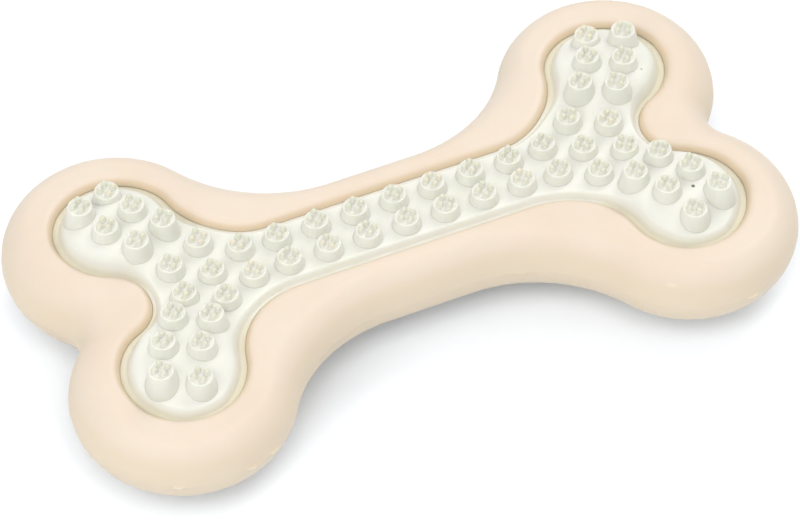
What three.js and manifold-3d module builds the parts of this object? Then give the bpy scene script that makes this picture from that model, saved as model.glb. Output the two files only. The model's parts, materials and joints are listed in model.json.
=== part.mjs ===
// Puppy chew bone: a soft peach body with a pale mint nub pad locked into a pocket in each face.
// Millimetres, +Z up. The origin is under the middle of the bone, on the surface it lies on.
// X runs along the shaft, Y across it, and the body is symmetric about its middle plane.

import * as THREE from 'three';
import { mergeVertices } from 'three/addons/utils/BufferGeometryUtils.js';
import Module from 'manifold-3d';

const wasm = await Module();
wasm.setup();

// A bone outline: lobe centres at (±lobeX, ±lobeY), three radii and the half width of the shaft.
const BODY_LINE = { lobeX: 49.5, lobeY: 17.7, lobe: 20.5, notch: 5.5, flank: 27.6, shaft: 15.1 };
const POCKET_LINE = { lobeX: 49.05, lobeY: 17.35, lobe: 11.3, notch: 7.5, flank: 15.5, shaft: 7.65 };

// Steps along a quarter outline. The same counts serve both outlines, so their points pair up.
const NOTCH_STEPS = 2;
const LOBE_STEPS = 11;
const FLANK_STEPS = 5;

// Section of the rim, as heights above the middle plane at the middle of the shaft. The inner roll
// is a list of offsets outwards from the pocket's mouth with the height at each.
const SIDE_RADIUS = 8.4;
const SIDE_ANGLES = [18, 36, 56];
const INNER_ROLL = [[2.2, 7.25], [1.1, 6.9], [0.4, 6.33], [0, 5.78]];
const LIP_HEIGHT = 5.55;
const GROOVE_DEPTH = 1;
const WEB_HALF = 1.25;

// The inner roll, the lip and the pad stand this much higher at the lobes than on the shaft, and
// come down between these distances from the middle of the lobe.
const LOBE_RISE = 0.9;
const RISE_INNER = 12;
const RISE_OUTER = 26;

// The pad, as heights above the middle plane on the shaft. Offsets run outwards from the mouth.
const GAP = 0.3;
const PAD_BACK = WEB_HALF + GAP;
const FLANGE_HEIGHT = LIP_HEIGHT - GAP;
const FLANGE_OFFSET = GROOVE_DEPTH - GAP;
const RAISED_OFFSET = -1.25;
const CROWN = 2;
const SHOULDER = 1.4;
const DOME = 2.4;
const DOME_INNER = 2;
const DOME_OUTER = 13;
const DOME_SHOULDER = 2.2;
const JUNCTION_X = 37;
const BRANCH_SHARE = 0.5;
const SHOULDER_STEPS = [0.06, 0.17, 0.36, 0.66, 1];

// Nubs: a drafted drum with a ledge and a tuft of pins. Tops are heights above the middle plane.
const NUB_TOP_RADIUS = 2.25;
const NUB_DRAFT = 0.2;
const NUB_SIDES = 8;
const NUB_ROOT = 5.2;
const SHAFT_TOP = 9.35;
const JUNCTION_TOP = 10;
const LOBE_TOP = 12.5;
const LOBE_TIP_TOP = 11;
const PINS = 4;
const PIN_SIDES = 3;
const PIN_CIRCLE = 1.15;
const PIN_ROOT_RADIUS = 0.68;
const PIN_TIP_RADIUS = 0.46;
const PIN_HEIGHT = 1.2;
const PIN_SINK = 0.4;

// Layout of the nubs on one pad.
const SHAFT_COLUMNS = 7;
const SHAFT_PITCH = 7.65;
const SHAFT_ROW = 3;
const JUNCTION_START = 30;
const JUNCTION_STEP = 6.7;
const JUNCTION_PITCH = 6.95;
const LOBE_ROWS = [[44.5, 10.5], [48.4, 15.8], [51.1, 21.9]];
const LOBE_HALF_ROW = 3.4;
const LOBE_ROW_ANGLE = -25;

// The bone lies on the pins of its lower lobes, which sets the height of the middle plane.
const MIDDLE_HEIGHT = LOBE_TOP + PIN_HEIGHT;

// Corners closer than this are one corner.
const WELD = 1e-4;

const radians = THREE.MathUtils.degToRad;

function arc(cx, cy, radius, from, to, steps) {
  const points = [];
  for (let i = 0; i <= steps; i += 1) {
    const angle = from + ((to - from) * i) / steps;
    points.push(new THREE.Vector2(cx + radius * Math.cos(angle), cy + radius * Math.sin(angle)));
  }
  return points;
}

// From the bottom of the end notch, round the lobe and along the flank, to the middle of the shaft.
function quarterOutline(line, offset) {
  const { lobeX, lobeY, lobe, notch, flank, shaft } = line;
  const notchX = lobeX + Math.sqrt((lobe + notch) ** 2 - lobeY ** 2);
  const flankY = shaft + flank;
  const flankX = lobeX - Math.sqrt((lobe + flank) ** 2 - (flankY - lobeY) ** 2);
  const notchEnd = Math.atan2(lobeY, lobeX - notchX);
  const lobeEnd = Math.atan2(flankY - lobeY, flankX - lobeX);
  const flankStart = Math.atan2(lobeY - flankY, lobeX - flankX);
  const notchArc = arc(notchX, 0, notch - offset, Math.PI, notchEnd, NOTCH_STEPS);
  const lobeArc = arc(lobeX, lobeY, lobe + offset, notchEnd - Math.PI, lobeEnd, LOBE_STEPS);
  const flankArc = arc(flankX, flankY, flank - offset, flankStart, -Math.PI / 2, FLANK_STEPS);
  const middle = new THREE.Vector2(0, shaft + offset);
  return [...notchArc, ...lobeArc.slice(1), ...flankArc.slice(1), middle];
}

// Four mirrored quarters make the closed line, counter-clockwise.
function mirrorQuarters(quarter) {
  const last = quarter.length - 1;
  const forward = quarter.slice(0, last);
  const backward = quarter.slice(1).reverse();
  const flip = (points, sx, sy) => points.map((p) => new THREE.Vector2(p.x * sx, p.y * sy));
  return [
    ...flip(forward, 1, 1),
    ...flip(backward, -1, 1),
    ...flip(forward, -1, -1),
    ...flip(backward, 1, -1),
  ];
}

function outline(line, offset) {
  return mirrorQuarters(quarterOutline(line, offset));
}

function ringAt(points, z) {
  return points.map((p) => new THREE.Vector3(p.x, p.y, z));
}

// Distance from the middle of the nearest lobe.
function lobeReach(x, y) {
  return Math.hypot(Math.abs(x) - POCKET_LINE.lobeX, Math.abs(y) - POCKET_LINE.lobeY);
}

function rise(x, y) {
  return LOBE_RISE * (1 - THREE.MathUtils.smoothstep(lobeReach(x, y), RISE_INNER, RISE_OUTER));
}

function risingRing(points, z) {
  return points.map((p) => new THREE.Vector3(p.x, p.y, z + rise(p.x, p.y)));
}

// Joins rings of equal count, from the lowest, with a flat cap on the first ring and on the last
// one too unless it has already closed up along a line.
function loft(rings, capLast) {
  const count = rings[0].length;
  const positions = rings.flat().flatMap((p) => [p.x, p.y, p.z]);
  const index = [];
  for (let r = 0; r + 1 < rings.length; r += 1) {
    for (let i = 0; i < count; i += 1) {
      const next = (i + 1) % count;
      const a = r * count + i;
      const b = r * count + next;
      index.push(a, b, b + count, a, b + count, a + count);
    }
  }
  for (const [a, b, c] of THREE.ShapeUtils.triangulateShape(rings[0], [])) {
    index.push(a, c, b);
  }
  if (capLast) {
    const start = (rings.length - 1) * count;
    for (const [a, b, c] of THREE.ShapeUtils.triangulateShape(rings.at(-1), [])) {
      index.push(start + a, start + b, start + c);
    }
  }
  const geometry = new THREE.BufferGeometry();
  geometry.setAttribute('position', new THREE.Float32BufferAttribute(positions, 3));
  geometry.setIndex(index);
  return geometry;
}

// A geometry's shared corners are merged and its collapsed triangles dropped, to give a solid.
function toSolid(geometry) {
  const bare = geometry.clone();
  bare.deleteAttribute('normal');
  bare.deleteAttribute('uv');
  const merged = mergeVertices(bare, WELD);
  const index = merged.index.array;
  const kept = [];
  for (let i = 0; i < index.length; i += 3) {
    const [a, b, c] = [index[i], index[i + 1], index[i + 2]];
    if (a !== b && b !== c && c !== a) {
      kept.push(a, b, c);
    }
  }
  const vertProperties = new Float32Array(merged.attributes.position.array);
  const triVerts = new Uint32Array(kept);
  return new wasm.Manifold(new wasm.Mesh({ numProp: 3, vertProperties, triVerts }));
}

function toGeometry(solid) {
  const mesh = solid.getMesh();
  const geometry = new THREE.BufferGeometry();
  geometry.setAttribute('position', new THREE.Float32BufferAttribute(mesh.vertProperties, 3));
  geometry.setIndex(new THREE.Uint32BufferAttribute(mesh.triVerts, 1));
  geometry.computeVertexNormals();
  return geometry;
}

// One half of the body, from the middle plane over the crest and down to the pocket's floor.
function bodyHalfRings() {
  const outer = outline(BODY_LINE, 0);
  const mouth = outline(POCKET_LINE, 0);
  const groove = outline(POCKET_LINE, GROOVE_DEPTH);
  const side = SIDE_ANGLES.map((degrees) => {
    const angle = radians(degrees);
    const inset = SIDE_RADIUS * (1 - Math.cos(angle));
    return ringAt(outline(BODY_LINE, -inset), SIDE_RADIUS * Math.sin(angle));
  });
  const roll = INNER_ROLL.map(([offset, z]) => risingRing(outline(POCKET_LINE, offset), z));
  return [
    ringAt(outer, 0),
    ...side,
    ...roll,
    risingRing(mouth, LIP_HEIGHT),
    risingRing(groove, LIP_HEIGHT),
    ringAt(groove, WEB_HALF),
  ];
}

function bodySolid() {
  const upper = bodyHalfRings();
  const mirrored = (ring) => ring.map((p) => new THREE.Vector3(p.x, p.y, -p.z));
  const lower = upper.slice(1).reverse().map(mirrored);
  return toSolid(loft([...lower, ...upper], true));
}

// Every outline point has a partner on the pad's spine: a line along the shaft that forks at each
// end to the middles of the two lobes. The spoke between the two carries the pad's surface.
function spinePoints(quarter) {
  const lobeMiddle = new THREE.Vector2(POCKET_LINE.lobeX, POCKET_LINE.lobeY);
  const junction = new THREE.Vector2(JUNCTION_X, 0);
  const branch = junction.clone().lerp(lobeMiddle, BRANCH_SHARE);
  const lobeEnd = NOTCH_STEPS + LOBE_STEPS;
  return quarter.map((p, i) => {
    if (i === 0 || i === lobeEnd + 2) {
      return junction;
    }
    if (i === 1 || i === lobeEnd + 1) {
      return branch;
    }
    return i <= lobeEnd ? lobeMiddle : new THREE.Vector2(p.x, 0);
  });
}

// Height of the pad's skin: a short elliptic shoulder, level on the shaft, and a dome over each lobe.
function padHeight(x, y, fromEdge) {
  const short = 1 - Math.min(fromEdge / SHOULDER, 1);
  const shoulder = CROWN * Math.sqrt(1 - short * short);
  const near = 1 - THREE.MathUtils.smoothstep(lobeReach(x, y), DOME_INNER, DOME_OUTER);
  const dome = DOME * near * THREE.MathUtils.smoothstep(fromEdge, 0, DOME_SHOULDER);
  return FLANGE_HEIGHT + rise(x, y) + shoulder + dome;
}

function padSkinRings() {
  const quarter = quarterOutline(POCKET_LINE, RAISED_OFFSET);
  const edge = mirrorQuarters(quarter);
  const spine = mirrorQuarters(spinePoints(quarter));
  return SHOULDER_STEPS.map((t) =>
    edge.map((p, i) => {
      const q = p.clone().lerp(spine[i], t);
      return new THREE.Vector3(q.x, q.y, padHeight(q.x, q.y, p.distanceTo(q)));
    }),
  );
}

function padBase() {
  const flange = outline(POCKET_LINE, FLANGE_OFFSET);
  const foot = outline(POCKET_LINE, RAISED_OFFSET);
  const rings = [
    ringAt(flange, PAD_BACK),
    risingRing(flange, FLANGE_HEIGHT),
    risingRing(foot, FLANGE_HEIGHT),
    ...padSkinRings(),
  ];
  return toSolid(loft(rings, false));
}

// Cone frustum standing along Z, from its lower end.
function frustum(radiusLow, radiusHigh, height, sides, x, y, z) {
  const geometry = new THREE.CylinderGeometry(radiusHigh, radiusLow, height, sides);
  geometry.rotateX(Math.PI / 2);
  geometry.translate(x, y, z + height / 2);
  return toSolid(geometry);
}

function nub({ x, y, top }) {
  const rootRadius = NUB_TOP_RADIUS + NUB_DRAFT * NUB_ROOT;
  let solid = frustum(rootRadius, NUB_TOP_RADIUS, NUB_ROOT, NUB_SIDES, x, y, top - NUB_ROOT);
  for (let i = 0; i < PINS; i += 1) {
    const angle = (2 * Math.PI * (i + 0.5)) / PINS;
    const px = x + PIN_CIRCLE * Math.cos(angle);
    const py = y + PIN_CIRCLE * Math.sin(angle);
    const height = PIN_HEIGHT + PIN_SINK;
    const pin = frustum(PIN_ROOT_RADIUS, PIN_TIP_RADIUS, height, PIN_SIDES, px, py, top - PIN_SINK);
    solid = solid.add(pin);
  }
  return solid;
}

// Two straight rows on the shaft, a staggered patch where it forks, and three short rows on each
// lobe that turn outwards with it. The nub at the lobe's tip stands lower than the others.
function nubLayout() {
  const nubs = [];
  for (let column = 0; column < SHAFT_COLUMNS; column += 1) {
    const x = (column - (SHAFT_COLUMNS - 1) / 2) * SHAFT_PITCH;
    nubs.push({ x, y: SHAFT_ROW, top: SHAFT_TOP }, { x, y: -SHAFT_ROW, top: SHAFT_TOP });
  }
  for (const end of [-1, 1]) {
    const place = (column, rows, top) => {
      const x = end * (JUNCTION_START + column * JUNCTION_STEP);
      nubs.push({ x, y: rows * JUNCTION_PITCH, top });
    };
    place(0, 0.5, SHAFT_TOP);
    place(0, -0.5, SHAFT_TOP);
    place(1, 0, SHAFT_TOP);
    place(1, 1, JUNCTION_TOP);
    place(1, -1, JUNCTION_TOP);
    place(2, 0.5, JUNCTION_TOP);
    place(2, -0.5, JUNCTION_TOP);
    for (const side of [-1, 1]) {
      nubs.push(...lobeNubs(end, side));
    }
  }
  return nubs;
}

function lobeNubs(end, side) {
  const across = new THREE.Vector2(LOBE_HALF_ROW, 0);
  across.rotateAround(new THREE.Vector2(), radians(LOBE_ROW_ANGLE));
  const lastRow = LOBE_ROWS.length - 1;
  const nubs = [];
  LOBE_ROWS.forEach(([rowX, rowY], row) => {
    for (const column of [-1, 1]) {
      const top = row === lastRow && column === -1 ? LOBE_TIP_TOP : LOBE_TOP;
      nubs.push({ x: end * (rowX + column * across.x), y: side * (rowY + column * across.y), top });
    }
  });
  return nubs;
}

function padSolid() {
  return nubLayout().map(nub).reduce((pad, one) => pad.add(one), padBase());
}

const peach = new THREE.MeshStandardMaterial({ color: 0xf6dcc4, roughness: 0.62, metalness: 0 });
const mint = new THREE.MeshStandardMaterial({ color: 0xe4e8d9, roughness: 0.55, metalness: 0 });

function addPiece(parent, name, geometry, material) {
  const mesh = new THREE.Mesh(geometry, material);
  mesh.name = name;
  parent.add(mesh);
  return mesh;
}

const bone = new THREE.Group();
bone.position.z = MIDDLE_HEIGHT;

addPiece(bone, 'bone_body', toGeometry(bodySolid()), peach);
const padGeometry = toGeometry(padSolid());
addPiece(bone, 'nub_pad_upper', padGeometry, mint);
const lowerPad = addPiece(bone, 'nub_pad_lower', padGeometry.clone(), mint.clone());
lowerPad.rotation.x = Math.PI;

export default bone;
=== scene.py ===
# %% [markdown]
# # A puppy's chew bone
# A soft toy of two rubbers: a peach bone with a rolled rim, and a pale mint pad set into a
# pocket in each face. The pad carries drum-shaped nubs, and every nub a tuft of small pins.
# The frame holds the solids at their real size. Each piece here is remade with a finer surface
# in the same place, so that the light finds soft turns where the solids have facets. Sizes are
# in millimetres, and `MM` turns them into Blender's metres.

# %% Load the frame
import json
import math

import bpy
import numpy as np
from mathutils import Matrix, Vector, noise
from mathutils.geometry import delaunay_2d_cdt

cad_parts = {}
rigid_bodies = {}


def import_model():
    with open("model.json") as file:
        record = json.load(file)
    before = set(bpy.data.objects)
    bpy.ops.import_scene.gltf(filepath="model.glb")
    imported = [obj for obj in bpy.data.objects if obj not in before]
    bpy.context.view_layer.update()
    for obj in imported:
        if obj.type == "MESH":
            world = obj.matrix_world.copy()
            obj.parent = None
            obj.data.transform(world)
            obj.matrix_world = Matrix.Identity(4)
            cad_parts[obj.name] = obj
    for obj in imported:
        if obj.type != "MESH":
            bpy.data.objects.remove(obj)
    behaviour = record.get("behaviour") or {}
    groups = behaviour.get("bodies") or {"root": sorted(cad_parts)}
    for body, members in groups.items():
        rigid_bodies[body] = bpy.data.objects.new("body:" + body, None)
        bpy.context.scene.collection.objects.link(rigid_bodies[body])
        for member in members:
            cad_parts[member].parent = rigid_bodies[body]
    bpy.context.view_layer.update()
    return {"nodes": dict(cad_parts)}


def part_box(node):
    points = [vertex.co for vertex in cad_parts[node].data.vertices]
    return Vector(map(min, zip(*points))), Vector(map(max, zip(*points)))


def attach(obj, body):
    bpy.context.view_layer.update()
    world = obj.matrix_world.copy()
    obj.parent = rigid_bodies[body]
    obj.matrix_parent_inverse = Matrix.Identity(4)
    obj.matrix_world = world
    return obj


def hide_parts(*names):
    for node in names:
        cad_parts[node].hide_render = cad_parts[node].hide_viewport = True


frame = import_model()
MM = 0.001
body_low, body_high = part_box("bone_body")
MIDDLE = (body_low.z + body_high.z) / 2 / MM
print("solids in the frame:", len(frame["nodes"]))
print("height of the middle plane in mm:", round(MIDDLE, 2))

# %% [markdown]
# ## The camera
# The bone is seen from the front and from well above, through a long lens, so its two ends look
# almost equally large. A camera can be aimed by hand or with a constraint. Here its axes are
# written out, because the picture is also rolled a little, and a matrix says that most plainly.

# %% Camera
VIEW_AZIMUTH = math.radians(-22.62)
VIEW_ELEVATION = math.radians(50.07)
VIEW_ROLL = math.radians(-0.81)
VIEW_DISTANCE = 738.1
LENS = 181.26
SENSOR = 36
AIM_RIGHT = -0.13
AIM_UP = -4.25


def make_camera():
    flat = math.cos(VIEW_ELEVATION)
    level = Vector((math.cos(VIEW_AZIMUTH), math.sin(VIEW_AZIMUTH), 0))
    back = Vector((level.y * flat, -level.x * flat, math.sin(VIEW_ELEVATION)))
    upright = back.cross(level)
    right = level * math.cos(VIEW_ROLL) + upright * math.sin(VIEW_ROLL)
    up = upright * math.cos(VIEW_ROLL) - level * math.sin(VIEW_ROLL)
    middle = Vector((0, 0, MIDDLE))
    eye = middle + back * VIEW_DISTANCE
    aim = middle + right * AIM_RIGHT + up * AIM_UP
    out = (eye - aim).normalized()
    right = up.cross(out).normalized()
    up = out.cross(right)
    data = bpy.data.cameras.new("camera")
    data.lens = LENS
    data.sensor_width = SENSOR
    camera = bpy.data.objects.new("camera", data)
    turned = Matrix((right, up, out)).transposed().to_4x4()
    camera.matrix_world = Matrix.Translation(eye * MM) @ turned
    bpy.context.scene.collection.objects.link(camera)
    bpy.context.scene.camera = camera
    return camera


camera = make_camera()
print("camera in mm:", [round(c / MM, 1) for c in camera.matrix_world.translation])

# %% [markdown]
# ## Shader maths as expressions
# A material is a graph, and long lists of nodes and links are hard to read. One small class
# wraps a socket, so that `0.4 + 0.1 * grain` adds its Math nodes. Its `add` method makes any
# other node from the node's type, its settings and what goes into its sockets. A socket is
# called by its name, or as `i0`, `i1` by its number where a node has several of one name.

# %% Wire
class Wire:
    """An output socket that can be used in an expression."""

    def __init__(self, tree, socket=None):
        self.tree = tree
        self.socket = socket

    def add(self, kind, settings=None, out=0, **sockets):
        """The output of a new node, with its settings made before its sockets are fed."""
        node = self.tree.nodes.new("ShaderNode" + kind)
        for name, value in (settings or {}).items():
            setattr(node, name, value)
        for name, value in sockets.items():
            key = int(name[1:]) if name[1:].isdigit() else name.replace("_", " ")
            self.feed(node.inputs[key], value)
        return Wire(self.tree, node.outputs[out])

    def feed(self, socket, value):
        if isinstance(value, Wire):
            self.tree.links.new(value.socket, socket)
        else:
            socket.default_value = value

    def math(self, operation, first, second):
        return self.add("Math", {"operation": operation}, i0=first, i1=second)

    def __add__(self, other):
        return self.math("ADD", self, other)

    def __radd__(self, other):
        return self.math("ADD", other, self)

    def __sub__(self, other):
        return self.math("SUBTRACT", self, other)

    def __rsub__(self, other):
        return self.math("SUBTRACT", other, self)

    def __mul__(self, other):
        return self.math("MULTIPLY", self, other)

    def __rmul__(self, other):
        return self.math("MULTIPLY", other, self)

    def mix(self, low, high):
        """A colour between two, where this value says how far."""
        return self.add("Mix", {"data_type": "RGBA"}, out=2, i0=self, i6=low, i7=high)

    def ramp(self, start, end):
        """0 up to start, 1 from end on, and a smooth rise between."""
        settings = {"interpolation_type": "SMOOTHSTEP"}
        return self.add("MapRange", settings, Value=self, From_Min=start, From_Max=end)


print("wire ready")

# %% New finish
def new_finish(name):
    """A material, a wire to build on, and its shader node."""
    material = bpy.data.materials.new(name)
    material.use_nodes = True
    tree = material.node_tree
    return material, Wire(tree), tree.nodes["Principled BSDF"]


def dress(wire, shader, looks):
    """Feeds the shader's sockets, by name, with wires or with plain values."""
    for name, value in looks.items():
        wire.feed(shader.inputs[name], value)


print("finish helpers ready")

# %% [markdown]
# ## Floor and light
# The bone lies on a white sheet in a bright, even studio: three large soft lamps stand round
# it, and white walls fill the shadows. Walls could be built, but a white world does their work
# with less noise. Each lamp is a disc that faces the bone, placed by a direction, and the plain
# view transform keeps the pale rubbers as pale as they are.

# %% Floor
FLOOR_SIDE = 6000
FLOOR_GRAIN = {"Scale": 40.0, "Detail": 3.0}
FLOOR_ROUGHNESS = 0.85
FLOOR_UNEVEN = 0.1
FLOOR_PLAIN = {"Base Color": (0.9, 0.935, 0.975, 1), "Specular IOR Level": 0.1}


def make_floor():
    half = FLOOR_SIDE / 2 * MM
    corners = [(-half, -half, 0), (half, -half, 0), (half, half, 0), (-half, half, 0)]
    mesh = bpy.data.meshes.new("floor")
    mesh.from_pydata(corners, [], [(0, 1, 2, 3)])
    floor = bpy.data.objects.new("floor", mesh)
    bpy.context.scene.collection.objects.link(floor)
    material, wire, shader = new_finish("floor_white")
    grain = wire.add("TexNoise", **FLOOR_GRAIN)
    dress(wire, shader, {"Roughness": FLOOR_ROUGHNESS + FLOOR_UNEVEN * grain, **FLOOR_PLAIN})
    mesh.materials.append(material)
    return floor


floor = make_floor()
print("floor:", floor.name, FLOOR_SIDE, "mm wide")

# %% World and lamps
WORLD_TONE = (1.0, 1.0, 1.0, 1)
WORLD_STRENGTH = 0.7
LAMP_DISTANCE = 1200
LAMP_SIZE = 700
LAMPS = {  # the direction that each lamp stands in, and its power
    "front_lamp": (-0.2, -0.475, 0.857, 5.5),
    "left_lamp": (-0.654, -0.269, 0.707, 3.5),
    "back_lamp": (0.577, 0.409, 0.707, 4.8),
}


def make_world():
    world = bpy.data.worlds.new("studio")
    world.use_nodes = True
    background = world.node_tree.nodes["Background"]
    background.inputs["Color"].default_value = WORLD_TONE
    background.inputs["Strength"].default_value = WORLD_STRENGTH
    bpy.context.scene.world = world
    bpy.context.scene.view_settings.view_transform = "Standard"


def make_lamp(name, x, y, z, power):
    data = bpy.data.lights.new(name, "AREA")
    data.shape = "DISK"
    data.size = LAMP_SIZE * MM
    data.energy = power
    lamp = bpy.data.objects.new(name, data)
    lamp.location = Vector((x, y, z)).normalized() * LAMP_DISTANCE * MM
    lamp.rotation_euler = lamp.location.to_track_quat("Z", "Y").to_euler()
    bpy.context.scene.collection.objects.link(lamp)
    return lamp


make_world()
lamps = [make_lamp(name, *lamp) for name, lamp in LAMPS.items()]
print("lamps:", [lamp.name for lamp in lamps])

# %% [markdown]
# ## The bone's outline
# Seen from above the bone is drawn with arcs that run smoothly into each other: a notch between
# two lobes, the lobe, a hollow flank, and a straight shaft. The pocket has the same kind of
# line with other radii. A line could be traced point by point, but six sizes say all of it,
# give exact parallel lines, and tell how deep inside the line any point lies.

# %% Outline
NOTCH_STEPS = 12
LOBE_STEPS = 120
SIDE_STEPS = 66
HAIR = 1e-6


def arc(x, y, radius, angles):
    return np.column_stack([x + radius * np.cos(angles), y + radius * np.sin(angles)])


class BoneLine:
    """A closed bone outline. Lobe centres are at (lobe_x, lobe_y) and their mirror images."""

    def __init__(self, lobe_x, lobe_y, lobe, notch, flank, shaft):
        self.lobe_x, self.lobe_y = lobe_x, lobe_y
        self.lobe, self.notch, self.flank, self.shaft = lobe, notch, flank, shaft
        self.notch_x = lobe_x + math.sqrt((lobe + notch) ** 2 - lobe_y**2)
        self.flank_y = shaft + flank
        self.flank_x = lobe_x - math.sqrt((lobe + flank) ** 2 - (self.flank_y - lobe_y) ** 2)
        self.notch_end = math.atan2(lobe_y, lobe_x - self.notch_x)
        self.lobe_start = self.notch_end - math.pi
        self.lobe_end = math.atan2(self.flank_y - lobe_y, self.flank_x - lobe_x)
        self.flank_start = math.atan2(lobe_y - self.flank_y, lobe_x - self.flank_x)

    def side(self, offset):
        """The flank and half the shaft, in even steps."""
        radius = self.flank - offset
        bend = radius * (self.flank_start + math.pi / 2)
        run = np.linspace(0, bend + self.flank_x, SIDE_STEPS + 1)
        angles = self.flank_start - np.minimum(run, bend) / radius
        points = arc(self.flank_x, self.flank_y, radius, angles)
        points[:, 0] -= np.maximum(run - bend, 0)
        return points

    def points(self, offset=0.0):
        """The whole line, counter-clockwise, moved outwards by offset."""
        notch_angles = np.linspace(math.pi, self.notch_end, NOTCH_STEPS + 1)
        lobe_angles = np.linspace(self.lobe_start, self.lobe_end, LOBE_STEPS + 1)
        notch = arc(self.notch_x, 0, self.notch - offset, notch_angles)
        lobe = arc(self.lobe_x, self.lobe_y, self.lobe + offset, lobe_angles)
        quarter = np.vstack([notch, lobe[1:], self.side(offset)[1:]])
        forward, backward = quarter[:-1], quarter[:0:-1]
        turns = [(forward, 1, 1), (backward, -1, 1), (forward, -1, -1), (backward, 1, -1)]
        return np.vstack([points * (sx, sy) for points, sx, sy in turns])

    def depth(self, x, y):
        """How far inside the line a point lies: negative outside."""
        x, y = np.abs(x), np.abs(y)
        notch_angle = np.arctan2(y, x - self.notch_x)
        lobe_angle = np.arctan2(y - self.lobe_y, x - self.lobe_x)
        flank_angle = np.arctan2(y - self.flank_y, x - self.flank_x)
        at_notch = notch_angle >= self.notch_end - HAIR
        past_notch = lobe_angle >= self.lobe_start - HAIR
        at_lobe = past_notch & (lobe_angle <= self.lobe_end + HAIR)
        past_shaft = flank_angle >= -math.pi / 2 - HAIR
        at_flank = past_shaft & (flank_angle <= self.flank_start + HAIR)
        depths = (
            (at_notch, np.hypot(x - self.notch_x, y) - self.notch),
            (at_lobe, self.lobe - np.hypot(x - self.lobe_x, y - self.lobe_y)),
            (at_flank, np.hypot(x - self.flank_x, y - self.flank_y) - self.flank),
        )
        far = np.full(np.shape(x), np.inf)
        nearest = np.where(x <= self.flank_x, self.shaft - y, far)
        for holds, depth in depths:
            nearest = np.minimum(nearest, np.where(holds, depth, far))
        return nearest


BODY_LINE = BoneLine(lobe_x=49.5, lobe_y=17.7, lobe=20.5, notch=5.5, flank=27.6, shaft=15.1)
POCKET_LINE = BoneLine(lobe_x=49.05, lobe_y=17.35, lobe=11.3, notch=7.5, flank=15.5, shaft=7.5)
print("points on the outline:", len(BODY_LINE.points()))

# %% [markdown]
# ## A mould for meshes
# Both rubbers are made from rings of points that are joined by bands of faces, and from patches
# that close what is left between rings. Such soft shapes could be sculpted or remeshed, but
# rings keep every size exact. `Mould` collects them and hands over one closed mesh. A patch is
# filled with a constrained triangulation, which keeps the rings as they are. Each point also
# carries a mark, a number that tells the finish later which part of the moulding it lies on.

# %% Mould
ENCLOSED_FACES = 1


def neighbours(loop):
    return zip(loop, loop[1:] + loop[:1])


class Mould:
    """Collects points, in mm above the middle plane, and faces between them."""

    def __init__(self):
        self.points = []
        self.faces = []
        self.marks = []

    def ring(self, points, mark=0.0):
        start = len(self.points)
        self.points.extend(points)
        self.marks.extend(np.broadcast_to(mark, len(points)))
        return list(range(start, len(self.points)))

    def band(self, low, high):
        for (low_a, low_b), (high_a, high_b) in zip(neighbours(low), neighbours(high)):
            self.faces.append((low_a, low_b, high_b, high_a))

    def stack(self, rings):
        for low, high in zip(rings, rings[1:]):
            self.band(low, high)

    def cone(self, ring, tip):
        for a, b in neighbours(ring):
            self.faces.append((a, b, tip))

    def fill(self, border, holes=(), loose=()):
        """Triangles inside the border and outside the holes, through the loose points."""
        loops = [border, *holes]
        used = [i for loop in loops for i in loop] + list(loose)
        place = {index: k for k, index in enumerate(used)}
        owner = {index: number for number, loop in enumerate(loops) for index in loop}
        edges = [(place[a], place[b]) for loop in loops for a, b in neighbours(loop)]
        flat = [Vector(self.points[i][:2]) for i in used]
        made = delaunay_2d_cdt(flat, edges, [], ENCLOSED_FACES, HAIR, True)
        triangles, origins = made[2], made[3]
        for triangle in triangles:
            corners = [used[origins[k][0]] for k in triangle]
            owners = {owner.get(i) for i in corners}
            if len(owners) > 1 or None in owners or self.belongs(corners, owners == {0}):
                self.faces.append(tuple(corners))

    def belongs(self, corners, on_border):
        """A triangle on one loop alone is inside that loop if it runs the loop's own way."""
        onward = sum(b > a for a, b in neighbours(corners))
        return (onward == 2) == on_border

    def piece(self, name, flip=False):
        """A Blender object, turned over about X if it belongs to the lower face."""
        points = np.array(self.points, float)
        if flip:
            points = points * (1, -1, -1)
        points[:, 2] += MIDDLE
        mesh = bpy.data.meshes.new(name)
        mesh.from_pydata((points * MM).tolist(), [], self.faces)
        mesh.shade_smooth()
        mesh.attributes.new("mark", "FLOAT", "POINT").data.foreach_set("value", self.marks)
        mesh.update()
        made = bpy.data.objects.new(name, mesh)
        bpy.context.scene.collection.objects.link(made)
        return made


def lift(points, heights):
    """Flat points raised to their heights."""
    return np.column_stack([points, np.broadcast_to(heights, len(points))])


print("mould ready")

# %% [markdown]
# ## The body's rim
# The rim is a fat roll: round on the outside, nearly flat on its crest, and turned down into
# the pocket by a smaller round. It stands a little higher round the lobes than on the shaft,
# and falls again at each lobe's tip. A section could be swept round the outline, but the two
# outlines aren't parallel. So the height is worked out from two depths, that inside the outer
# line and that outside the pocket, and the surface stays smooth wherever the mesh lines run.

# %% Rim height
SIDE_RADIUS = 8.4
SIDE_END = math.radians(56)
CREST = 7.25
LOBE_RISE = 0.9
RISE_INNER = 12.0
RISE_OUTER = 26.0
TIP_START = 18.0
TIP_END = 29.0
TIP_FALL = 0.9
ROLL = 2.0
ROLL_END = math.radians(76)


def smooth_step(value, low, high):
    share = np.clip((value - low) / (high - low), 0, 1)
    return share * share * (3 - 2 * share)


def lobe_reach(x, y):
    """How far a point is from the middle of the nearest lobe."""
    return np.hypot(np.abs(x) - POCKET_LINE.lobe_x, np.abs(y) - POCKET_LINE.lobe_y)


def rise(x, y):
    """How much higher the rim stands than on the shaft: it falls again at a lobe's tip."""
    lobe = 1 - smooth_step(lobe_reach(x, y), RISE_INNER, RISE_OUTER)
    return LOBE_RISE * lobe * (1 - TIP_FALL * smooth_step(np.abs(y), TIP_START, TIP_END))


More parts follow.
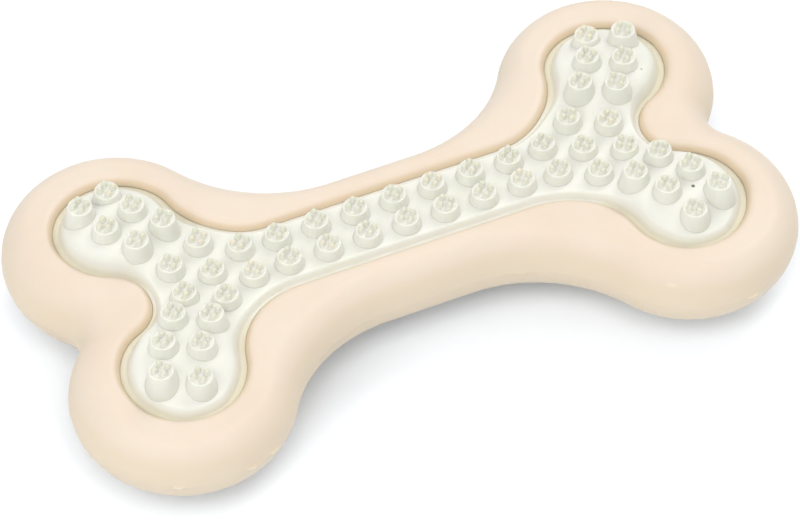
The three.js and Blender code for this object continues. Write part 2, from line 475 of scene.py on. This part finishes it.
def rim_height(points):
    x, y = points[:, 0], points[:, 1]
    end_depth = SIDE_RADIUS * (1 - math.cos(SIDE_END))
    end_height = SIDE_RADIUS * math.sin(SIDE_END)
    crest = CREST + rise(x, y)
    reach = 2 * (crest - end_height) * math.tan(SIDE_END)
    short = 1 - np.clip((BODY_LINE.depth(x, y) - end_depth) / reach, 0, 1)
    turned = np.clip(math.sin(ROLL_END) + POCKET_LINE.depth(x, y) / ROLL, 0, 1)
    return crest - (crest - end_height) * short**2 - ROLL * (1 - np.sqrt(1 - turned**2))


lobe_middle = np.array([[POCKET_LINE.lobe_x, POCKET_LINE.lobe_y]])
print("rise at the middle of a lobe in mm:", rise(*lobe_middle.T).round(2))

# %% Rim rings
SIDE_RINGS = 11
CREST_RINGS = 5
ROLL_RINGS = 9


def rim_rings():
    """From just above the middle plane, over the crest, to the pocket's mouth."""
    rings = []
    for angle in np.linspace(0, SIDE_END, SIDE_RINGS + 1)[1:]:
        line = BODY_LINE.points(-SIDE_RADIUS * (1 - math.cos(angle)))
        rings.append(lift(line, SIDE_RADIUS * math.sin(angle)))
    start, end = rings[-1][:, :2], POCKET_LINE.points(ROLL * math.sin(ROLL_END))
    for share in np.linspace(0, 1, CREST_RINGS + 1)[1:]:
        line = start + (end - start) * share
        rings.append(lift(line, rim_height(line)))
    for angle in np.linspace(0, ROLL_END, ROLL_RINGS + 1)[1:]:
        line = POCKET_LINE.points(ROLL * (math.sin(ROLL_END) - math.sin(angle)))
        rings.append(lift(line, rim_height(line)))
    return rings


print("rings on the upper rim:", len(rim_rings()))

# %% [markdown]
# ## The flash
# The body is moulded in two halves, so a faint ridge of flash runs round its middle, with a few
# bits that trimming has left; the finish paints these paler, as a painted highlight for the
# light they catch. A ridge could be a bump in the material, but the bits stand out from the
# bone's edge against the floor, so they have to be shape. Noise makes the ridge swell and sink,
# and every bit is a short hump at a place of its own.

# %% Flash
FLASH = 0.045
FLASH_SWELL = 0.05
FLASH_NOISE = 0.35
FLASH_THIN = -0.6
BIT_STEEPNESS = 4
FLASH_BITS = (  # x, y, half the length, and how far it stands out
    (-57.8, -36.4, 0.9, 0.6),
    (-56.2, -37.0, 0.7, 0.3),
    (-44.4, -37.6, 0.8, 0.6),
    (-42.8, -37.1, 0.6, 0.35),
    (-39.6, -35.6, 1.3, 0.5),
    (16.8, -16.4, 1.0, 0.3),
    (53.0, -37.9, 1.4, 0.5),
)


def flash_height(line):
    """How far the flash stands out at each point of the middle line."""
    swell = np.array([noise.noise(Vector((x, y, 0)) * FLASH_NOISE) for x, y in line])
    height = FLASH + FLASH_SWELL * np.clip(swell, FLASH_THIN, 1)
    for x, y, half_length, stand in FLASH_BITS:
        away = np.hypot(line[:, 0] - x, line[:, 1] - y)
        height = height + stand * np.exp(-((away / half_length) ** BIT_STEEPNESS))
    return height


def outward(line):
    along = np.roll(line, -1, axis=0) - np.roll(line, 1, axis=0)
    normal = np.column_stack([along[:, 1], -along[:, 0]])
    return normal / np.linalg.norm(normal, axis=1)[:, None]


print("highest flash in mm:", flash_height(BODY_LINE.points()).max().round(2))

# %% [markdown]
# ## The body
# Inside, the rim ends in a thin lip, and under the lip a groove holds the pad's flange. A thin
# web parts the two pockets. This could be cut out of a block with booleans, but they leave
# ragged faces along a soft roll. Here it is one closed surface: the upper rings, their mirror
# image with the flash between, and a flat floor in each pocket. The marks tell the crest, the
# pocket's mouth, the low side and the bits of flash apart; by them the finish paints shade in
# the mouth and on the low side, and a highlight on the bits.

# %% Body
LIP_EDGE = 0.05
LIP = CREST - ROLL * (1 - math.cos(ROLL_END)) - LIP_EDGE
GROOVE = 1.0
WEB = 1.25
# Between these heights the low side is painted darker: painted shade.
SIDE_SHADE_TOP = 7.0
SIDE_SHADE_LOW = 2.5
# The bits of flash are painted paler over this range: a painted highlight for the light they
# catch.
FLASH_HIGHLIGHT = (0.15, 0.5)
FLASH_RINGS = ((0.16, 0.5), (0.34, 0.12))


def on_rise(line, height):
    """A ring at a height that is counted on the shaft and rises with the lobes."""
    return lift(line, height + rise(line[:, 0], line[:, 1]))


def body_mark(ring):
    """0 on the rim's crest, up to 1 at the pocket's mouth, and down to -1 low on the side."""
    x, y, height = ring.T
    # A high mark paints shade in the pocket's mouth, a low one paints shade low on the side.
    mouth = smooth_step(POCKET_LINE.depth(x, y), -ROLL, 0)
    low = smooth_step(-np.abs(height), -SIDE_SHADE_TOP, -SIDE_SHADE_LOW)
    return mouth - low * (BODY_LINE.depth(x, y) < SIDE_RADIUS / 2)


def make_body():
    mould = Mould()
    middle = BODY_LINE.points()
    stand = flash_height(middle)
    flash = outward(middle) * stand[:, None]
    upper = []
    for height, share in FLASH_RINGS:
        inset = SIDE_RADIUS - math.sqrt(SIDE_RADIUS**2 - height**2)
        upper.append(lift(BODY_LINE.points(-inset) + flash * share, height))
    upper.extend(rim_rings())
    groove = POCKET_LINE.points(GROOVE)
    upper.append(on_rise(POCKET_LINE.points(), LIP + LIP_EDGE / 2))
    upper.append(on_rise(POCKET_LINE.points(LIP_EDGE), LIP))
    upper.append(on_rise(groove, LIP))
    upper.append(lift(groove, WEB))
    lower = [ring * (1, 1, -1) for ring in reversed(upper)]
    rings = [mould.ring(ring, body_mark(ring)) for ring in lower]
    # a painted highlight on the bits of flash, and painted shade on the rest of the middle line
    pale = smooth_step(stand, *FLASH_HIGHLIGHT)
    rings.append(mould.ring(lift(middle + flash, 0), -1 - pale))
    rings += [mould.ring(ring, body_mark(ring)) for ring in upper]
    mould.stack(rings)
    mould.faces.append(tuple(reversed(rings[0])))
    mould.faces.append(tuple(rings[-1]))
    return mould.piece("body_peach")


body = make_body()
print("body:", len(body.data.polygons), "faces")

# %% [markdown]
# ## The pad's skin
# The pad's edge runs in under the rim's lip, and its middle is raised. The raised skin starts
# at a foot a little way inside the pocket's mouth, further in at the sides of a lobe than on
# the shaft. A soft shoulder takes it up to a crown that stays flat along the shaft, and a dome
# swells over each lobe, a little nearer to the bone's middle than the lobe itself. It could be
# sculpted, but nubs have to stand on it. With one formula for its height they find the skin
# wherever they are.

# %% Foot of the skin
MOUTH = POCKET_LINE.points()
INWARD = POCKET_LINE.points(-1.0) - MOUTH
LOBE_FOOT = 1.2
SHAFT_FOOT = 0.7
LOBE_STEP = 0.1
SHAFT_STEP = 0.35
FOOT_INNER = 11.5
FOOT_OUTER = 18.0
SIDEWAYS = (0.3, 0.8)


def by_lobe(x, y):
    """1 over a lobe, 0 on the shaft and at the notch."""
    return 1 - smooth_step(lobe_reach(x, y), FOOT_INNER, FOOT_OUTER)


def foot_depth(x, y):
    """How far from the pocket's line the raised skin begins: most at a lobe's two sides."""
    along = np.abs(np.abs(x) - POCKET_LINE.lobe_x) / np.maximum(lobe_reach(x, y), HAIR)
    return SHAFT_FOOT + (LOBE_FOOT - SHAFT_FOOT) * by_lobe(x, y) * smooth_step(along, *SIDEWAYS)


def foot_step(x, y):
    """How far the flange stands up in the pocket's mouth: more on the shaft."""
    return SHAFT_STEP + (LOBE_STEP - SHAFT_STEP) * by_lobe(x, y)


def foot_line(share):
    """A line part of the way, or all the way, from the pocket's line to the foot."""
    return MOUTH + INWARD * foot_depth(*MOUTH.T)[:, None] * share


print("widest foot in mm:", foot_depth(*MOUTH.T).max().round(2))

# %% Skin height
SEAM = 0.1
FLANGE = LIP - SEAM
CROWN = 1.5
SHAFT_SHOULDER = 0.9
LOBE_SHOULDER = 1.25
SOFT_FOOT = 0.7
DOME = 2.3
DOME_X = 48.3
DOME_Y = 14.7
DOME_INNER = 4.5
DOME_OUTER = 12.5
DOME_START = 2.2


def skin_height(x, y):
    inside = np.maximum(POCKET_LINE.depth(x, y) - foot_depth(x, y), 0)
    width = SHAFT_SHOULDER + (LOBE_SHOULDER - SHAFT_SHOULDER) * by_lobe(x, y)
    share = np.minimum(inside / width, 1)
    soft, brisk = smooth_step(share, 0, 1), 1 - (1 - share) ** 2
    shoulder = SOFT_FOOT * soft + (1 - SOFT_FOOT) * brisk
    from_middle = np.hypot(np.abs(x) - DOME_X, np.abs(y) - DOME_Y)
    dome = 1 - smooth_step(from_middle, DOME_INNER, DOME_OUTER)
    dome = DOME * dome * smooth_step(inside, 0, DOME_START)
    step = foot_step(x, y)
    return FLANGE + rise(x, y) + step + (CROWN - step) * shoulder + dome


def skin_at(points):
    points = np.atleast_2d(points)
    return skin_height(points[:, 0], points[:, 1])


MEASURED = {"shaft": (0, 0), "fork": (37, 0), "lobe": (49, 17)}
print("skin in mm:", {name: skin_at(place)[0].round(2) for name, place in MEASURED.items()})

# %% [markdown]
# ## Where the nubs stand
# Two straight rows run along the shaft. Where the shaft forks they give way to a staggered
# patch, and each lobe has three short rows that turn outwards with it. The nub at a lobe's tip
# stands lower than its neighbours. Each could be put down by hand, but loops place all of them,
# so the layout follows a few sizes, as the real mould does.

# %% Nub layout
PIN_HEIGHT = 1.2
LOBE_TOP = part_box("nub_pad_upper")[1].z / MM - MIDDLE - PIN_HEIGHT
TIP_DROP = 1.5
SHAFT_TOP = 9.35
FORK_TOP = 10.0
SHAFT_COLUMNS = 7
SHAFT_PITCH = 7.65
SHAFT_ROW = 3.0
FORK_START = 30.0
FORK_STEP = 6.7
FORK_PITCH = 6.95
FORK = (  # steps along the bone, pitches across it, and the top's height
    (0, 0.5, SHAFT_TOP),
    (0, -0.5, SHAFT_TOP),
    (1, 0, SHAFT_TOP),
    (1, 1, FORK_TOP),
    (1, -1, FORK_TOP),
    (2, 0.5, FORK_TOP),
    (2, -0.5, FORK_TOP),
)
LOBE_ROWS = ((44.5, 10.5), (48.4, 15.8), (51.1, 21.9))
LOBE_HALF_ROW = 3.4
LOBE_ROW_ANGLE = math.radians(-25)


def lobe_nubs():
    """The six nubs of one lobe, the one at its tip last."""
    across = np.array([math.cos(LOBE_ROW_ANGLE), math.sin(LOBE_ROW_ANGLE)]) * LOBE_HALF_ROW
    places = [np.array(row) + across * side for row in LOBE_ROWS for side in (1, -1)]
    tops = [LOBE_TOP] * (len(places) - 1) + [LOBE_TOP - TIP_DROP]
    return [(*place, top) for place, top in zip(places, tops)]


def nub_layout():
    """(x, y, height of the top) of every nub on one pad."""
    nubs = []
    for column in range(SHAFT_COLUMNS):
        x = (column - (SHAFT_COLUMNS - 1) / 2) * SHAFT_PITCH
        nubs += [(x, SHAFT_ROW, SHAFT_TOP), (x, -SHAFT_ROW, SHAFT_TOP)]
    for end in (-1, 1):
        for column, row, top in FORK:
            nubs.append((end * (FORK_START + column * FORK_STEP), row * FORK_PITCH, top))
        for side in (-1, 1):
            nubs += [(end * x, side * y, top) for x, y, top in lobe_nubs()]
    return nubs


print("nubs on one pad:", len(nub_layout()))

# %% [markdown]
# ## A nub
# A nub is a short drum with drafted sides, a small fillet where it grows out of the skin, and a
# soft top edge with a shallow dish inside. A bevelled cylinder could be pushed into the skin,
# but then the two would only cross. Here every point of the drum's foot is let down to the
# sloping skin by itself, and the ring there becomes a hole in the skin. The marks grow from 0
# on the skin: pins have theirs between root and tip, and the drum's wall has the highest.

# %% Nub
NUB_SIDES = 24
NUB_TOP_RADIUS = 2.25
NUB_DRAFT = 0.2
NUB_FILLET = 0.12
NUB_EDGE = 0.22
NUB_LEDGE = 1.98
NUB_DISH = 0.05
NUB_TURNS = np.radians([0, 30, 60, 90])
SETTLING_PASSES = 6
# The finish paints shade on the pins and in the dish by these marks.
ROOT_MARK = 0.5
TIP_MARK = 1.0
# The finish paints the drum's wall and top edge greyer by this mark: painted shade.
WALL_MARK = 2.0


def circle(sides):
    """Directions in even steps all round."""
    angles = np.linspace(0, 2 * math.pi, sides, endpoint=False)
    return np.column_stack([np.cos(angles), np.sin(angles)])


def add_nub(mould, x, y, top):
    """Returns the ring at the skin and the ring inside the top's edge."""
    centre, around = np.array([x, y]), circle(NUB_SIDES)
    radius = np.full(NUB_SIDES, NUB_TOP_RADIUS)
    for _ in range(SETTLING_PASSES):
        skin = skin_at(centre + around * radius[:, None])
        radius = NUB_TOP_RADIUS + NUB_DRAFT * (top - skin)
    rings = []
    for turn in NUB_TURNS:
        points = centre + around * (radius + NUB_FILLET * (1 - math.sin(turn)))[:, None]
        points = lift(points, skin_at(points) + NUB_FILLET * (1 - math.cos(turn)))
        rings.append(mould.ring(points, WALL_MARK * math.sin(turn)))
    inner = NUB_TOP_RADIUS - NUB_EDGE
    for turn in NUB_TURNS:
        points = centre + around * (inner + NUB_EDGE * math.cos(turn))
        points = lift(points, top - NUB_EDGE * (1 - math.sin(turn)))
        rings.append(mould.ring(points, WALL_MARK))
    ledge = lift(centre + around * NUB_LEDGE, top - NUB_DISH)
    rings.append(mould.ring(ledge, ROOT_MARK))
    mould.stack(rings)
    return rings[0], rings[-1]


print("rings on a nub:", 2 * len(NUB_TURNS) + 1)

# %% [markdown]
# ## A tuft of pins
# Four small round fingers stand on every nub, turned the same way all over the pad, as one tool
# would cut them in the mould. They are soft, and no two stand quite alike. Scattered copies of
# one pin would do, but then each would only be stuck into the nub. Here every pin grows out of
# the nub's top, and a seeded draw gives its height and its lean.

# %% Pins
PINS = 4
PIN_SIDES = 8
PIN_CIRCLE = 1.2
PIN_PROFILE = (  # the radius, and the share of the height
    (0.68, 0.0),
    (0.62, 0.12),
    (0.59, 0.5),
    (0.51, 0.76),
    (0.37, 0.92),
    (0.18, 0.985),
)
PIN_TWIST = 0.1
PIN_LEAN = 0.06
PIN_SPLAY = 0.03
PIN_SHORT = 0.25
PIN_WANDER = 0.03


def add_pin(mould, root, base, lean, height):
    """Returns the ring at the pin's root."""
    rings = []
    for radius, share in PIN_PROFILE:
        points = root + lean * height * share + circle(PIN_SIDES) * radius
        mark = ROOT_MARK + (TIP_MARK - ROOT_MARK) * share
        rings.append(mould.ring(lift(points, base + height * share), mark))
    tip = mould.ring([(*(root + lean * height), base + height)], TIP_MARK)[0]
    mould.stack(rings)
    mould.cone(rings[-1], tip)
    return rings[0]


def add_tuft(mould, x, y, top, ledge, draw):
    """Fills the dish inside the ledge and grows the pins out of it."""
    base = top - NUB_DISH
    turn = draw.normal(0, PIN_TWIST)
    roots = []
    for number in range(PINS):
        angle = turn + number * 2 * math.pi / PINS
        out = np.array([math.cos(angle), math.sin(angle)])
        root = np.array([x, y]) + out * PIN_CIRCLE + draw.uniform(-PIN_WANDER, PIN_WANDER, 2)
        lean = out * PIN_SPLAY + draw.normal(0, PIN_LEAN, 2)
        height = (PIN_HEIGHT + NUB_DISH) * (1 - PIN_SHORT * draw.uniform(0, 1) ** 2)
        roots.append(add_pin(mould, root, base, lean, height))
    mould.fill(ledge, holes=roots)


print("pins on one pad:", PINS * len(nub_layout()))

# %% [markdown]
# ## The pads
# The flange is a stack of rings that follow the pocket and end in a small bead, up to the foot
# of the raised skin. Skin and nubs could be joined by a boolean or a remesh, but either would
# blur the seam between them. So the skin is filled through rows of points along its shoulder
# and an even grid beyond, with a hole wherever a nub stands. The lower pad is the same moulding
# turned over, and its pins lean in their own ways.

# %% Skin points
SHOULDER_ROWS = (0.1, 0.21, 0.33, 0.47, 0.63, 0.82, 1.03, 1.25)
SHOULDER_CLEAR = 0.1
SKIN_PITCH = 0.8
SKIN_CLEAR = 0.4


def clear_of_nubs(points, nubs, clear):
    heights = skin_at(points)
    keep = np.full(len(points), True)
    for x, y, top in nubs:
        drum = NUB_TOP_RADIUS + NUB_FILLET + NUB_DRAFT * (top - heights)
        keep &= np.hypot(points[:, 0] - x, points[:, 1] - y) > drum + clear
    return points[keep]


def skin_grid(width, length):
    """Staggered rows of points, as close across as along."""
    columns = np.arange(-width / 2, width / 2, SKIN_PITCH)
    lines = np.arange(-length / 2, length / 2, SKIN_PITCH * math.sin(math.pi / 3))
    shifts = [SKIN_PITCH / 2 * (number % 2) for number in range(len(lines))]
    return np.array([(x + shift, y) for shift, y in zip(shifts, lines) for x in columns])


def skin_points(nubs):
    """Rows along the shoulder and an even grid inside them, clear of the nubs."""
    rows = np.vstack([foot_line(1.0) + INWARD * step for step in SHOULDER_ROWS])
    grid = skin_grid(*(rows.max(0) - rows.min(0)))
    edge = foot_depth(*grid.T) + SHOULDER_ROWS[-1] + SKIN_CLEAR
    grid = grid[POCKET_LINE.depth(*grid.T) > edge]
    rows = clear_of_nubs(rows, nubs, SHOULDER_CLEAR)
    points = np.vstack([rows, clear_of_nubs(grid, nubs, SKIN_CLEAR)])
    return lift(points, skin_at(points))


print("points in the skin:", len(skin_points(nub_layout())))

# %% Pads
GAP = 0.3
PAD_BACK = WEB + GAP
FLANGE_EDGE = 0.2
# How far the flange's painted shade reaches onto the skin, how strong it is on the shaft, and
# how it fades.
EDGE_SHADE_WIDTH = 0.9
SHAFT_EDGE_SHADE = 0.45
EDGE_SHADE_FADE = 0.35
BEAD = (  # the share of the way to the foot, and of the step's height
    (0.0, 0.0),
    (0.06, 0.1),
    (0.1, 0.85),
    (0.2, 1.02),
    (0.45, 1.06),
    (0.75, 1.02),
    (1.0, 1.0),
)


def edge_shade(points):
    """How strongly the flange is painted with shade: fully at the lobes, less on the shaft."""
    return SHAFT_EDGE_SHADE + (1 - SHAFT_EDGE_SHADE) * by_lobe(points[:, 0], points[:, 1])


def flange_rings(mould):
    """From the pad's back, round the flange's edge and over the bead to the skin's foot."""
    flange = POCKET_LINE.points(GROOVE - GAP)
    rings = [lift(flange, PAD_BACK), on_rise(flange, FLANGE - FLANGE_EDGE)]
    rings.append(on_rise(POCKET_LINE.points(GROOVE - GAP - FLANGE_EDGE), FLANGE))
    # negative marks: the finish paints shade and a warm reflection on the flange by them
    rings = [mould.ring(ring, -edge_shade(ring)) for ring in rings]
    for share, height in BEAD:
        line = foot_line(share)
        bead = on_rise(line, FLANGE + height * foot_step(*line.T))
        rings.append(mould.ring(bead, edge_shade(bead) * (EDGE_SHADE_FADE * share - 1)))
    return rings


def make_pad(name, seed, flip):
    draw = np.random.default_rng(seed)
    mould = Mould()
    rings = flange_rings(mould)
    mould.stack(rings)
    mould.faces.append(tuple(reversed(rings[0])))
    nubs = nub_layout()
    feet = []
    for x, y, top in nubs:
        foot, ledge = add_nub(mould, x, y, top)
        feet.append(foot)
        add_tuft(mould, x, y, top, ledge, draw)
    skin = skin_points(nubs)
    x, y = skin[:, 0], skin[:, 1]
    # The flange's painted shade fades out over the skin's first rise.
    inside = POCKET_LINE.depth(x, y) - foot_depth(x, y)
    fade = (1 - EDGE_SHADE_FADE) * (1 - smooth_step(inside, 0, EDGE_SHADE_WIDTH))
    loose = mould.ring(skin, -edge_shade(skin) * fade)
    mould.fill(rings[-1], holes=feet, loose=loose)
    return mould.piece(name, flip)


upper_pad = make_pad("pad_mint_upper", seed=7, flip=False)
lower_pad = make_pad("pad_mint_lower", seed=19, flip=True)
print("upper pad:", len(upper_pad.data.polygons), "faces")

# %% [markdown]
# ## Peach rubber
# The body's rubber is matt to satin, soft to the light, and very slightly uneven in tone. It is
# painted darker and warmer in the pocket's mouth and on the low side, as painted shade, painted
# paler on the bits of flash, as a painted highlight, and lightly scuffed in one place. Tones
# could be painted on an image, but the marks on the points already say where they belong, and
# noise does the rest at any size. Light goes a little way into the rubber and comes out warmer,
# which a subsurface weight gives.

# %% Peach rubber
PEACH = (0.68, 0.585, 0.485, 1)
PEACH_DEEP = (0.66, 0.555, 0.445, 1)
# painted shade in the pocket's mouth, darker and warmer where the crease keeps the light out
PEACH_MOUTH_SHADE = (0.63, 0.505, 0.36, 1)
# painted shade low on the side
PEACH_LOW_SHADE = (0.645, 0.545, 0.415, 1)
# painted highlight on the flash bits, and also the tone of the real scuffs
PEACH_SCUFF_AND_HIGHLIGHT = (0.8, 0.71, 0.57, 1)
PEACH_MOUTH_SHADE_START = 0.4
PEACH_CLOUD = {"Scale": 38.0, "Detail": 4.0, "Roughness": 0.55}
PEACH_CLOUD_RANGE = (0.35, 0.72)
PEACH_GRAIN = {"Scale": 2600.0, "Detail": 2.0}
PEACH_BUMP = {"Strength": 0.12, "Distance": 0.00004}
PEACH_ROUGHNESS = 0.46
PEACH_UNEVEN = 0.12
PEACH_PLAIN = {
    "IOR": 1.42,
    "Subsurface Weight": 0.25,
    "Subsurface Radius": (1.0, 0.55, 0.35),
    "Subsurface Scale": 0.002,
}
SCUFF_STRENGTH = 0.2
SCUFFS = (  # x, y, z and the radius
    (38.3, -33.15, 18.4, 0.5),
    (38.8, -33.4, 18.4, 0.6),
    (39.3, -33.65, 18.4, 0.5),
)


def spot(wire, place, x, y, z, radius):
    """1 in the middle of a small ball, 0 outside it."""
    middle = (x * MM, y * MM, z * MM)
    away = wire.add("VectorMath", {"operation": "DISTANCE"}, "Value", i0=place, i1=middle)
    return 1 - away.ramp(radius * MM / 2, radius * MM)


def peach_rubber():
    material, wire, shader = new_finish("peach_rubber")
    place = wire.add("TexCoord", out="Object")
    mark = wire.add("Attribute", {"attribute_name": "mark"}, "Fac")
    cloud = wire.add("TexNoise", Vector=place, **PEACH_CLOUD)
    grain = wire.add("TexNoise", Vector=place, **PEACH_GRAIN)
    tone = cloud.ramp(*PEACH_CLOUD_RANGE).mix(PEACH, PEACH_DEEP)
    # painted shade low on the side, by the mark
    tone = (0 - mark).ramp(0.0, 1.0).mix(tone, PEACH_LOW_SHADE)
    # paler on the bits of flash: a painted highlight
    tone = (-1 - mark).ramp(0.0, 1.0).mix(tone, PEACH_SCUFF_AND_HIGHLIGHT)
    # the scuffs are real wear in the same pale tone
    for scuff in SCUFFS:
        tone = (SCUFF_STRENGTH * spot(wire, place, *scuff)).mix(tone, PEACH_SCUFF_AND_HIGHLIGHT)
    looks = {
        # The pocket's mouth is painted darker and warmer by the mark: painted shade.
        "Base Color": mark.ramp(PEACH_MOUTH_SHADE_START, 1.0).mix(tone, PEACH_MOUTH_SHADE),
        "Roughness": PEACH_ROUGHNESS + PEACH_UNEVEN * cloud,
        "Normal": wire.add("Bump", Height=grain, **PEACH_BUMP),
    }
    dress(wire, shader, {**looks, **PEACH_PLAIN})
    return material


body.data.materials.append(peach_rubber())
print("body finish:", body.data.materials[0].name)

# %% [markdown]
# ## Mint rubber
# The pads are a paler, smoother rubber, almost white with a breath of green. A nub's wall and
# top are painted a shade greyer than the skin, and the pins darker towards their tips, both as
# painted shade, and some pins have a brownish stain. The flange in the pocket's mouth is
# painted a darker yellow, as painted shade with a warm painted reflection of the peach rim, and
# two dark specks lie in the skin. These could be materials of their own, but their borders are
# soft, so one material blends its tones by the marks. Far more light goes through than in the
# body.

# %% Mint rubber
MINT = (0.715, 0.71, 0.655, 1)
MINT_DEEP = (0.695, 0.7, 0.625, 1)
# painted shade on the nub's wall and top edge
MINT_WALL_SHADE = (0.685, 0.685, 0.62, 1)
# painted shade in the dish between the pins, lighter than the pins' painted shade
MINT_ROOT_SHADE = (0.68, 0.675, 0.61, 1)
# painted shade on the pins, darker towards their tips
MINT_PIN_SHADE = (0.56, 0.56, 0.475, 1)
MINT_STAIN = (0.64, 0.58, 0.46, 1)
# painted shade and a painted warm reflection of the peach rim on the flange
MINT_EDGE_SHADE = (0.625, 0.58, 0.44, 1)
MINT_SPECK = (0.16, 0.16, 0.13, 1)
MINT_CLOUD = {"Scale": 60.0, "Detail": 4.0, "Roughness": 0.5}
MINT_CLOUD_RANGE = (0.35, 0.75)
MINT_PATCH = {"Scale": 110.0, "Detail": 1.0}
MINT_PATCH_RANGE = (0.55, 0.75)
MINT_GRAIN = {"Scale": 2200.0, "Detail": 2.0}
MINT_BUMP = {"Strength": 0.1, "Distance": 0.00004}
MINT_ROUGHNESS = 0.58
MINT_UNEVEN = 0.12
MINT_PLAIN = {
    "IOR": 1.42,
    "Specular IOR Level": 0.3,
    "Subsurface Weight": 0.75,
    "Subsurface Radius": (0.95, 1.0, 0.75),
    "Subsurface Scale": 0.0012,
}
SPECKS = (  # x, y, z and the radius
    (50.2, -18.0, 24.0, 0.45),
    (54.0, 12.0, 23.4, 0.4),
)


def mint_rubber():
    material, wire, shader = new_finish("mint_rubber")
    place = wire.add("TexCoord", out="Object")
    mark = wire.add("Attribute", {"attribute_name": "mark"}, "Fac")
    cloud = wire.add("TexNoise", Vector=place, **MINT_CLOUD)
    grain = wire.add("TexNoise", Vector=place, **MINT_GRAIN)
    patch = wire.add("TexNoise", Vector=place, **MINT_PATCH)
    tone = cloud.ramp(*MINT_CLOUD_RANGE).mix(MINT, MINT_DEEP)
    pin = patch.ramp(*MINT_PATCH_RANGE).mix(MINT_PIN_SHADE, MINT_STAIN)
    # The dish and the pins are painted greyer, darker towards the tips: painted shade.
    tone = mark.ramp(0.0, ROOT_MARK).mix(tone, MINT_ROOT_SHADE)
    tone = mark.ramp(ROOT_MARK, TIP_MARK).mix(tone, pin)
    # greyer on the nub's wall: painted shade
    tone = mark.ramp(TIP_MARK, WALL_MARK).mix(tone, MINT_WALL_SHADE)
    for speck in SPECKS:
        tone = spot(wire, place, *speck).mix(tone, MINT_SPECK)
    looks = {
        # The flange and the foot of the skin: painted shade with a painted warm reflection.
        "Base Color": (0 - mark).ramp(0.0, 1.0).mix(tone, MINT_EDGE_SHADE),
        "Roughness": MINT_ROUGHNESS + MINT_UNEVEN * cloud,
        "Normal": wire.add("Bump", Height=grain, **MINT_BUMP),
    }
    dress(wire, shader, {**looks, **MINT_PLAIN})
    return material


mint = mint_rubber()
for pad in (upper_pad, lower_pad):
    pad.data.materials.append(mint)
print("pad finish:", mint.name)

# %% [markdown]
# ## Handing the pieces over
# Each piece stands for one solid of the frame and rides on the bone's only body, and that solid
# is hidden.

# %% Ride
for piece, node, slot in (
    (body, "bone_body", "body_rubber"),
    (upper_pad, "nub_pad_upper", "pad_rubber"),
    (lower_pad, "nub_pad_lower", "pad_rubber"),
):
    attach(piece, "root")
    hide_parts(node)
